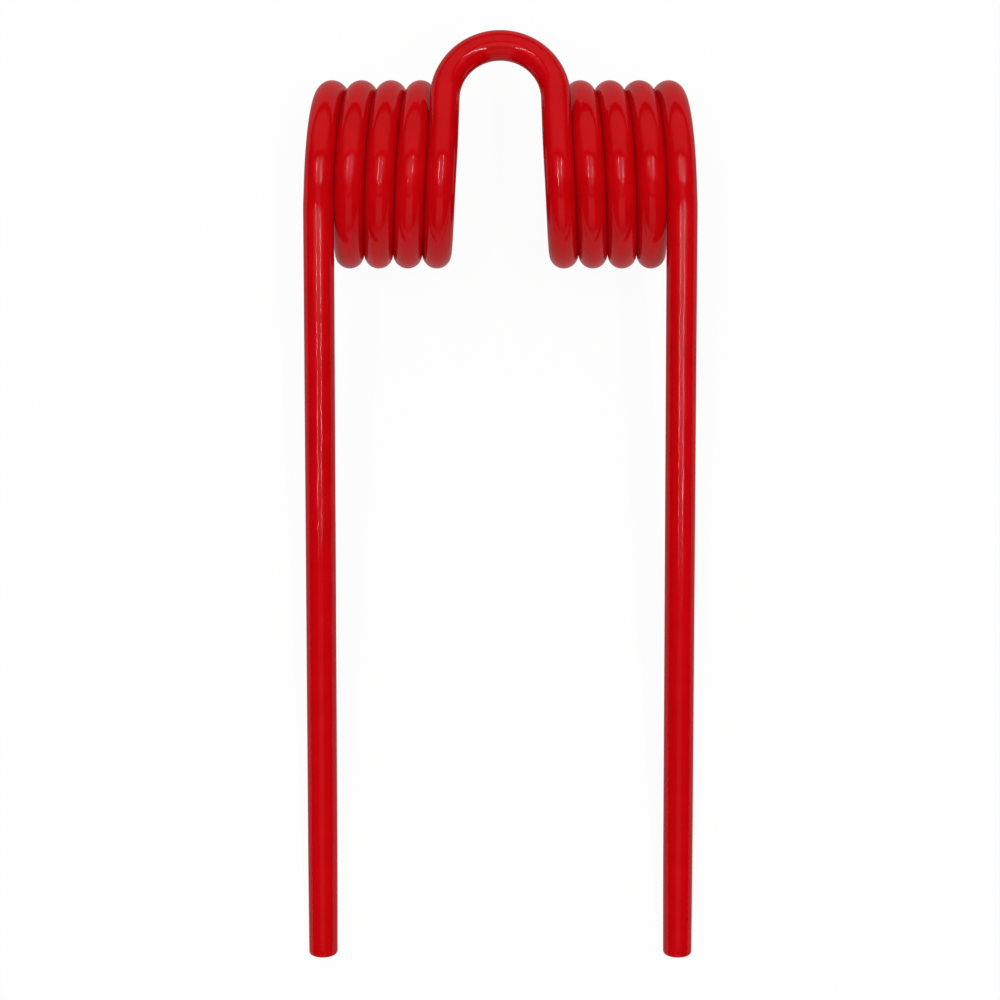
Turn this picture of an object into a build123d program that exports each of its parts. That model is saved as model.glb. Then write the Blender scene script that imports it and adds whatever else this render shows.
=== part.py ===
from build123d import *
import math
import os

# Double torsion spring tine for a baler pick-up, bent from one length of round spring wire:
# two straight legs, two close-wound coils on one axis, and a bridge loop that joins the coils.
# Lengths are in millimetres and angles in degrees.

# Driving dimensions
wire_diameter = 6.0
coil_inner_diameter = 26.4
coil_turns = 4
turn_gap = 0.03  # between neighbouring turns, wound as close as the wire lets them
coil_spacing = 17.5  # clear width between the fronts of the two coils, where the bridge rises
bridge_reach = 24.7  # from the coil axis to the outside of the arch
bridge_lean = 16.0  # how far the bridge leans back from the plane of the legs
bridge_side_lean = 1.9  # how far its straight sides lean towards each other
bridge_bend_radius = 100.0  # where the wire comes out of the coil into the side of the bridge
leg_length = 162.9  # from the coil axis to the cut end
leg_splay = 0.46  # lean of each leg outwards
leg_overrun = 12.0  # how far the last turn winds on past the plane of the legs
leg_bend_radius = 20.0  # where the wire is set forward again into the leg
end_round = 0.6  # edge of the cut end

# Wire and coil sizes that follow from them
wire_radius = wire_diameter / 2
coil_radius = coil_inner_diameter / 2 + wire_radius
coil_outer_radius = coil_radius + wire_radius
lead_angle = math.degrees(math.asin((wire_diameter + turn_gap) / (2 * math.pi * coil_radius)))
turn_pitch = 2 * math.pi * coil_radius * math.tan(math.radians(lead_angle))
lead_per_degree = turn_pitch / 360
coil_width = coil_turns * turn_pitch + (bridge_lean + leg_overrun) * lead_per_degree

# The wire is drawn with the coil axis on X, the legs towards -Y and the front face up.
# Only the right half is drawn. The left half is its mirror image.
# The bridge and the coil are drawn upright first, and are leant back together.
coil_start = Vector(coil_spacing / 2 + wire_radius - bridge_lean * lead_per_degree, 0, coil_radius)
arch_top = Vector(0, bridge_reach - wire_radius, coil_radius)
lead_direction = Vector(0, -1, 0).rotate(Axis.Z, lead_angle)

# The leg starts where the last turn ends, and is bent into its own plane.
coil_end = (coil_start + Vector(coil_width, 0, 0)).rotate(Axis.X, leg_overrun)
coil_end_direction = lead_direction.rotate(Axis.X, leg_overrun)
leg_direction = Vector(0, -1, 0).rotate(Axis.Z, leg_splay)
leg_bend_angle = coil_end_direction.get_angle(leg_direction)
leg_bend_reach = leg_bend_radius * math.tan(math.radians(leg_bend_angle / 2))
leg_start = coil_end + (coil_end_direction + leg_direction) * leg_bend_reach


def bridge_line():
    """Half of the bridge loop: out of the coil, up its side and round to the middle of the arch."""
    lean = math.radians(bridge_side_lean)
    with BuildLine() as line:
        bend = JernArc(coil_start, -lead_direction, bridge_bend_radius, bridge_side_lean - lead_angle)
        foot = bend @ 1
        rise = arch_top.Y - foot.Y
        arch_radius = (foot.X * math.cos(lean) - rise * math.sin(lean)) / (1 - math.sin(lean))
        springing = arch_top + Vector(math.cos(lean), math.sin(lean) - 1, 0) * arch_radius
        side = Line(foot, springing)
        TangentArc(springing, arch_top, tangent=side % 1)
    return line.wire().rotate(Axis.X, -bridge_lean)


def coil_line():
    """The close-wound turns, which carry the wire outwards along the coil axis."""
    with BuildLine() as line:
        Helix(turn_pitch, coil_width, coil_radius, center=(coil_start.X, 0, 0), direction=(1, 0, 0))
    return line.wire().rotate(Axis.X, -bridge_lean)


def leg_line():
    """The bend that sets the wire forward out of its last turn, and the leg to its cut end."""
    run = (leg_length + leg_start.Y) / math.cos(math.radians(leg_splay))
    with BuildLine() as line:
        TangentArc(coil_end, leg_start, tangent=coil_end_direction)
        Line(leg_start, leg_start + leg_direction * run)
    return line.wire()


with BuildPart() as half_wire:
    for centre_line in (bridge_line(), coil_line(), leg_line()):
        with BuildSketch(Plane(centre_line ^ 0)):
            Circle(wire_radius)
        sweep(path=centre_line, is_frenet=True)
    fillet(half_wire.faces().sort_by(Axis.Y)[0].edges(), end_round)

# Left on a floor face up, the tine settles on the backs of its coils and the ends of its legs.
# The end touches with its rounded edge, so the angle comes from the centre of that rounding.
edge_along = leg_length - end_round
edge_above = leg_start.Z - wire_radius + end_round
edge_distance = math.hypot(edge_along, edge_above)
settle_angle = math.degrees(
    math.asin((coil_outer_radius - end_round) / edge_distance) + math.atan(edge_above / edge_along)
)

with BuildPart() as bent_wire:
    add(half_wire.part, rotation=(settle_angle, 0, 0))
    mirror(about=Plane.YZ)

# The origin is on the floor, at the middle of the space that the resting tine takes up.
footprint = bent_wire.part.bounding_box()
with BuildPart() as tine:
    with Locations((0, -footprint.center().Y, coil_outer_radius)):
        add(bent_wire.part)

os.makedirs("parts", exist_ok=True)
tine.part.label = "tine"
export_step(tine.part, "parts/tine.step")
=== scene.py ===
import math

import bpy
import numpy as np
from mathutils import Matrix, Vector

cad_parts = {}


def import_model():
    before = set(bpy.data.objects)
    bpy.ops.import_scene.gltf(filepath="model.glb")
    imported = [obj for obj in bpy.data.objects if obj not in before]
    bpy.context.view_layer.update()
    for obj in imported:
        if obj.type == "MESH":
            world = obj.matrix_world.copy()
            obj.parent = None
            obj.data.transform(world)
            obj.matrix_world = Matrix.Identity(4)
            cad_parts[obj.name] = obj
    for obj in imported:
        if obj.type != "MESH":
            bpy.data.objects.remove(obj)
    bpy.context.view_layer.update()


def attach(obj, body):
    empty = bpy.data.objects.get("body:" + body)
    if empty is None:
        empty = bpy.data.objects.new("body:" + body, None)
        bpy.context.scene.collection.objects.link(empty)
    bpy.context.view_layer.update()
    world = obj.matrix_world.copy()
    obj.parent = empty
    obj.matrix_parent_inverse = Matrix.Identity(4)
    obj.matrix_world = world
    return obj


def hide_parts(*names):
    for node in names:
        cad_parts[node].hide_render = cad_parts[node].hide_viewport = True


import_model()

# Sizes of the bent wire, the same as in the CAD source, in metres and radians
MM = 0.001
wire_radius = 3.0 * MM
coil_radius = 16.2 * MM  # of the wire's centre line
coil_turns = 4
turn_spacing = 6.03 * MM  # from wire to wire, square to the wire
coil_front_x = 11.75 * MM
bridge_top = 21.7 * MM  # from the coil axis to the wire's centre line in the arch
bridge_lean = math.radians(16.0)
bridge_side_lean = math.radians(1.9)
bridge_bend_radius = 100.0 * MM
leg_length = 162.9 * MM
leg_splay = math.radians(0.46)
leg_overrun = math.radians(12.0)
leg_bend_radius = 20.0 * MM
end_round = 0.6 * MM
settle_angle = math.radians(11.138104)
coil_axis_y = 68.64319 * MM

# Sizes that follow from them
lead_angle = math.asin(turn_spacing / (2 * math.pi * coil_radius))
turn_pitch = turn_spacing / math.cos(lead_angle)
coil_axis_z = coil_radius + wire_radius

# What the wire has over its radius along the coil axis: the turns close up, and the legs are as
# wide as they look. The legs widen over the first length and narrow again over the last.
turn_extra = 0.014 * MM
leg_extra = 0.08 * MM
leg_widening = 0.2 * coil_radius
leg_narrowing = 20.0 * MM

# Fineness of the mesh
ring_points = 64
rings_per_turn = 120
bridge_bend_rings = 8
bridge_side_rings = 20
arch_rings = 60
leg_bend_rings = 16
leg_rings = 90
edge_rings = 9
face_rings = (0.92, 0.6, 0.25)  # shares of the cut face's radius

# Soft panels of light: lowest and highest lean towards +Y in degrees, the fade below and above,
# half width, its fade, and strength
panels = (
    (-12, 8, 5, 4, 10, 40, 1.3),
    (-19, -12, 3, 5, 6, 26, 0.6),
    (-34, -24, 3, 3, 5, 22, 0.55),
    (-59, -41, 40, 3, 14, 14, 0.85),
    (21, 66, 6, 10, 32, 30, 0.75),
)
fill_light = 0.03

# Long thin lamps: name, lean towards +X, ends as they lean towards +Y, width in degrees, and power
tubes = (
    ("tube_left", -14.0, -21.0, 10.5, 1.0, 19.0),
    ("tube_right", 15.0, -21.0, 10.5, 1.0, 28.0),
)
tube_distance = 3.0

floor_reach = 6.0
floor_glow_share = 0.95  # of the floor where the camera sees it, and the rest keeps the shadow

sensor_width = 36.0
camera_lens = 1.8405 * sensor_width
camera_place = (-0.00007, -0.0151278, 0.3970723)
camera_tilt = math.radians(2.4909)


# The wire

def bent(start, heading, up, radius, angle, count):
    """Rows of a bend towards up, or away from it where the angle is negative."""
    turn = 1.0 if angle > 0 else -1.0
    rows = []
    for a in np.linspace(0, abs(angle), count):
        point = start + radius * (math.sin(a) * heading + turn * (1 - math.cos(a)) * up)
        rows.append((point, math.cos(a) * heading + turn * math.sin(a) * up))
    return rows


def bridge_rows():
    """Half of the bridge loop, from the middle of its arch down to the coil."""
    start = np.array([coil_front_x - turn_pitch * bridge_lean / (2 * math.pi), 0.0])
    heading = np.array([-math.sin(lead_angle), math.cos(lead_angle)])
    outward = np.array([heading[1], -heading[0]])
    bend_angle = lead_angle - bridge_side_lean
    rows = bent(start, heading, outward, bridge_bend_radius, bend_angle, bridge_bend_rings)

    foot, heading = rows[-1]
    lean_sin, lean_cos = math.sin(bridge_side_lean), math.cos(bridge_side_lean)
    rise = bridge_top - foot[1]
    arch_radius = (foot[0] * lean_cos - rise * lean_sin) / (1 - lean_sin)
    springing = np.array([arch_radius * lean_cos, bridge_top - arch_radius * (1 - lean_sin)])
    rows += [(foot + (springing - foot) * t, heading) for t in np.linspace(0, 1, bridge_side_rings)[1:]]
    inward = np.array([-heading[1], heading[0]])
    rows += bent(springing, heading, inward, arch_radius, math.pi / 2 - bridge_side_lean, arch_rings)[1:]

    # Lean the loop back about the coil axis, and run down it instead of up
    back, down = math.cos(bridge_lean), math.sin(bridge_lean)
    up = (0.0, down, back)
    leant = []
    for (x, y), (along_x, along_y) in reversed(rows):
        point = (x, y * back + coil_radius * down, coil_radius * back - y * down)
        leant.append((point, (-along_x, -along_y * back, along_y * down), up))
    return leant


def coil_rows():
    """The close-wound turns, from the bridge outwards."""
    wound = 2 * math.pi * coil_turns + bridge_lean + leg_overrun
    along, around = math.sin(lead_angle), math.cos(lead_angle)
    rings = int(rings_per_turn * wound / (2 * math.pi))
    rows = []
    for a in np.linspace(-bridge_lean, wound - bridge_lean, rings):
        x = coil_front_x + turn_pitch * a / (2 * math.pi)
        point = (x, -coil_radius * math.sin(a), coil_radius * math.cos(a))
        heading = (along, -around * math.cos(a), -around * math.sin(a))
        rows.append((point, heading, (0.0, -math.sin(a), math.cos(a))))
    return rows


def leg_rows(coil_end):
    """The wire is set forward again out of its last turn, and runs on to the cut end."""
    point, heading, _ = (np.array(row) for row in coil_end)
    straight = np.array([math.sin(leg_splay), -math.cos(leg_splay), 0.0])
    angle = math.acos(heading @ straight)
    forward = (straight - heading * (heading @ straight)) / math.sin(angle)
    rows = []
    for start, along in bent(point, heading, forward, leg_bend_radius, angle, leg_bend_rings):
        rows.append((start, along, np.cross(along, (1.0, 0.0, 0.0))))
    last = rows[-1][0]
    run = (leg_length - end_round + last[1]) / math.cos(leg_splay)
    for t in np.linspace(0, 1, leg_rings)[1:]:
        rows.append((last + straight * run * t, straight, (0.0, 0.0, 1.0)))
    return rows


def half_wire():
    """The right half as arrays: centre line, heading, up, radius, and the extra along the coil axis."""
    bridge, coil = bridge_rows(), coil_rows()
    rows = bridge + coil[1:] + leg_rows(coil[-1])[1:]
    point, heading, up = (np.array([row[i] for row in rows]) for i in range(3))
    radius = np.full(len(rows), wire_radius)
    below = -point[:, 1]
    widened = np.clip(below / leg_widening - 1, 0, 1)
    extra = leg_extra * widened * np.clip((leg_length - below) / leg_narrowing, 0, 1)
    extra[len(bridge):len(bridge) + len(coil) - 1] = turn_extra

    # The cut end: a rounded edge, then rings that shrink over the flat face
    steps = np.linspace(0, math.pi / 2, edge_rings)[1:]
    reach = np.r_[end_round * np.sin(steps), [end_round] * len(face_rings)]
    edge = wire_radius - end_round * (1 - np.cos(steps))
    face = (wire_radius - end_round) * np.array(face_rings)
    point = np.vstack([point, point[-1] + heading[-1] * reach[:, None]])
    heading = np.vstack([heading] + [heading[-1]] * len(reach))
    up = np.vstack([up] + [up[-1]] * len(reach))
    return point, heading, up, np.r_[radius, edge, face], np.r_[extra, np.zeros(len(reach))]


def resting(vertices):
    """The tine as it lies on the floor."""
    across, along, above = vertices[..., 0], vertices[..., 1], vertices[..., 2]
    y = along * math.cos(settle_angle) - above * math.sin(settle_angle) + coil_axis_y
    z = along * math.sin(settle_angle) + above * math.cos(settle_angle) + coil_axis_z
    return np.stack([across, y, z], -1)


def wire_mesh(name):
    """One closed tube along the whole wire: the right half, and its mirror image before it."""
    point, heading, up, radius, extra = half_wire()
    mirror = np.array([-1.0, 1.0, 1.0])
    point = np.vstack([(point * mirror)[:0:-1], point])
    heading = np.vstack([(-heading * mirror)[:0:-1], heading])
    up = np.vstack([(up * mirror)[:0:-1], up])
    radius = np.r_[radius[:0:-1], radius]
    extra = np.r_[extra[:0:-1], extra]

    side = np.cross(heading, up)
    side /= np.linalg.norm(side, axis=1)[:, None]
    up = np.cross(side, heading)
    around = np.linspace(0, 2 * math.pi, ring_points, endpoint=False)[None, :, None]
    rise = np.cos(around) * (up * radius[:, None])[:, None]
    across = np.sin(around) * (side * (radius + extra)[:, None])[:, None]
    vertices = resting(point[:, None] + rise + across).reshape(-1, 3)

    rings = len(point)
    i, j = np.meshgrid(np.arange(rings - 1) * ring_points, np.arange(ring_points), indexing="ij")
    k = (j + 1) % ring_points
    quads = np.stack([i + j, i + k, i + ring_points + k, i + ring_points + j], -1)
    faces = quads.reshape(-1, 4).tolist()
    faces.append(list(range(ring_points))[::-1])
    faces.append(list(range((rings - 1) * ring_points, rings * ring_points)))
    mesh = bpy.data.meshes.new(name)
    mesh.from_pydata(vertices.tolist(), [], faces)
    mesh.validate()
    mesh.shade_smooth()
    return in_scene(name, mesh)


def in_scene(name, data):
    made = bpy.data.objects.new(name, data)
    bpy.context.scene.collection.objects.link(made)
    return made


# Materials

class Graph:
    """Short names for the arithmetic of a node tree."""

    def __init__(self, tree):
        self.nodes = tree.nodes
        self.links = tree.links

    def put(self, value, socket):
        """Set a number on a socket, or link another node's output to it."""
        if isinstance(value, (int, float)):
            socket.default_value = value
        else:
            self.links.new(value, socket)

    def math(self, operation, *values):
        node = self.nodes.new("ShaderNodeMath")
        node.operation = operation
        for value, socket in zip(values, node.inputs):
            self.put(value, socket)
        return node.outputs[0]

    def ramp(self, value, low, high, to_low=0.0, to_high=1.0):
        """A smooth step of value from low to high."""
        node = self.nodes.new("ShaderNodeMapRange")
        node.interpolation_type = "SMOOTHSTEP"
        for number, socket in zip((value, low, high, to_low, to_high), node.inputs):
            self.put(number, socket)
        return node.outputs[0]

    def window(self, value, low, high, soft_low, soft_high):
        """One between low and high, which fades to nothing over soft_low below and soft_high above."""
        rise = self.ramp(value, low - soft_low, low)
        fall = self.ramp(value, high, high + soft_high, 1.0, 0.0)
        return self.math("MULTIPLY", rise, fall)

    def seen(self):
        """One for what the camera sees straight or through glass, and one for what it sees in gloss."""
        path = self.nodes.new("ShaderNodeLightPath")
        straight = self.math("MAXIMUM", path.outputs["Is Camera Ray"], path.outputs["Is Transmission Ray"])
        return straight, path.outputs["Is Glossy Ray"]


def new_material(name):
    made = bpy.data.materials.new(name)
    made.use_nodes = True
    return made, made.node_tree.nodes, made.node_tree.links, made.node_tree.nodes["Principled BSDF"]


def noise(nodes, links, place, scale, detail):
    """Noise that is fixed to the piece."""
    made = nodes.new("ShaderNodeTexNoise")
    made.inputs["Scale"].default_value = scale
    made.inputs["Detail"].default_value = detail
    links.new(place.outputs["Object"], made.inputs["Vector"])
    return made.outputs["Fac"]


def red_paint():
    """Glossy red paint with a fine orange peel."""
    made, nodes, links, shader = new_material("red_paint")
    shader.inputs["Roughness"].default_value = 0.6
    shader.inputs["Specular IOR Level"].default_value = 0.0
    shader.inputs["Coat Weight"].default_value = 0.25
    shader.inputs["Coat Roughness"].default_value = 0.02
    shader.inputs["Coat IOR"].default_value = 1.5
    place = nodes.new("ShaderNodeTexCoord")

    tone = nodes.new("ShaderNodeValToRGB")
    deep, light = tone.color_ramp.elements
    deep.position, deep.color = 0.3, (0.54, 0.0008, 0.003, 1.0)
    light.position, light.color = 0.7, (0.60, 0.0016, 0.005, 1.0)
    links.new(noise(nodes, links, place, 180.0, 3.0), tone.inputs["Fac"])
    links.new(tone.outputs["Color"], shader.inputs["Base Color"])

    bump = nodes.new("ShaderNodeBump")
    bump.inputs["Strength"].default_value = 0.10
    bump.inputs["Distance"].default_value = 0.0002
    links.new(noise(nodes, links, place, 1400.0, 2.0), bump.inputs["Height"])
    links.new(bump.outputs["Normal"], shader.inputs["Normal"])
    links.new(bump.outputs["Normal"], shader.inputs["Coat Normal"])
    return made


def floor_material():
    """A pale floor that looks white and keeps the tine's shadow."""
    made, nodes, links, shader = new_material("pale_floor")
    graph = Graph(made.node_tree)
    shader.inputs["Base Color"].default_value = (0.8, 0.8, 0.8, 1.0)
    shader.inputs["Roughness"].default_value = 0.9
    shader.inputs["Specular IOR Level"].default_value = 0.0
    glow = nodes.new("ShaderNodeEmission")
    glow.inputs["Color"].default_value = (1.0, 1.0, 1.0, 1.0)
    glow.inputs["Strength"].default_value = 1.0
    mix = nodes.new("ShaderNodeMixShader")
    seen = graph.math("MAXIMUM", *graph.seen())
    links.new(graph.math("MULTIPLY", seen, floor_glow_share), mix.inputs[0])
    links.new(shader.outputs[0], mix.inputs[1])
    links.new(glow.outputs[0], mix.inputs[2])
    links.new(mix.outputs[0], nodes["Material Output"].inputs["Surface"])
    return made


# Floor, light and camera

def floor():
    mesh = bpy.data.meshes.new("floor")
    corners = [(x * floor_reach, y * floor_reach, 0) for x, y in ((-1, -1), (1, -1), (1, 1), (-1, 1))]
    mesh.from_pydata(corners, [], [(0, 1, 2, 3)])
    mesh.materials.append(floor_material())
    in_scene("floor", mesh)


def tube_light(name, aside, near, far_end, width, power):
    """A long thin lamp overhead, placed by the directions that it is seen in, in degrees."""
    lean = math.radians((near + far_end) / 2)
    out = math.radians(aside)
    light = bpy.data.lights.new(name, "AREA")
    light.shape = "RECTANGLE"
    light.size = 2 * tube_distance * math.tan(math.radians(width / 2))
    light.size_y = 2 * tube_distance * math.tan(math.radians((far_end - near) / 2))
    light.energy = power
    made = in_scene(name, light)
    back = Vector((math.sin(out), math.cos(out) * math.sin(lean), math.cos(out) * math.cos(lean)))
    side = Vector((0, math.cos(lean), -math.sin(lean))).cross(back).normalized()
    made.location = back * tube_distance
    made.rotation_mode = "QUATERNION"
    made.rotation_quaternion = Matrix((side, back.cross(side), back)).transposed().to_quaternion()
    made.visible_camera = False


def world():
    """Soft panels of light overhead, a pale horizon in the gloss, and white wherever the camera looks."""
    made = bpy.data.worlds.new("studio")
    bpy.context.scene.world = made
    made.use_nodes = True
    graph = Graph(made.node_tree)
    place = graph.nodes.new("ShaderNodeTexCoord")
    parts = graph.nodes.new("ShaderNodeSeparateXYZ")
    graph.links.new(place.outputs["Generated"], parts.inputs[0])
    lean = graph.math("DEGREES", graph.math("ARCTAN2", parts.outputs["Y"], parts.outputs["Z"]))
    aside = graph.math("DEGREES", graph.math("ABSOLUTE", graph.math("ARCSINE", parts.outputs["X"])))
    light = fill_light
    for low, high, soft_low, soft_high, wide, soft_wide, strength in panels:
        length = graph.window(lean, low, high, soft_low, soft_high)
        width = graph.ramp(aside, wide, wide + soft_wide, 1.0, 0.0)
        light = graph.math("MULTIPLY_ADD", graph.math("MULTIPLY", length, width), strength, light)

    # The horizon fades out by 6 degrees up, and from 30 to 60 degrees aside
    straight, gloss = graph.seen()
    low_down = graph.ramp(parts.outputs["Z"], 0.02, 0.10, 1.0, 0.0)
    ahead = graph.ramp(aside, 30, 60, 1.0, 0.05)
    horizon = graph.math("MULTIPLY", graph.math("MULTIPLY", low_down, ahead), gloss)
    light = graph.math("MAXIMUM", graph.math("MAXIMUM", light, horizon), straight)
    background = graph.nodes["Background"]
    background.inputs["Color"].default_value = (1.0, 1.0, 1.0, 1.0)
    graph.links.new(light, background.inputs["Strength"])


def camera():
    data = bpy.data.cameras.new("camera")
    data.sensor_width = sensor_width
    data.lens = camera_lens
    data.clip_start = 0.01
    made = in_scene("camera", data)
    made.location = camera_place
    made.rotation_euler = (camera_tilt, 0, 0)
    bpy.context.scene.camera = made


tine = wire_mesh("bent_wire")
tine.data.materials.append(red_paint())
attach(tine, "root")
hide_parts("tine")
floor()
world()
for tube in tubes:
    tube_light(*tube)
camera()
bpy.context.scene.view_settings.view_transform = "Standard"
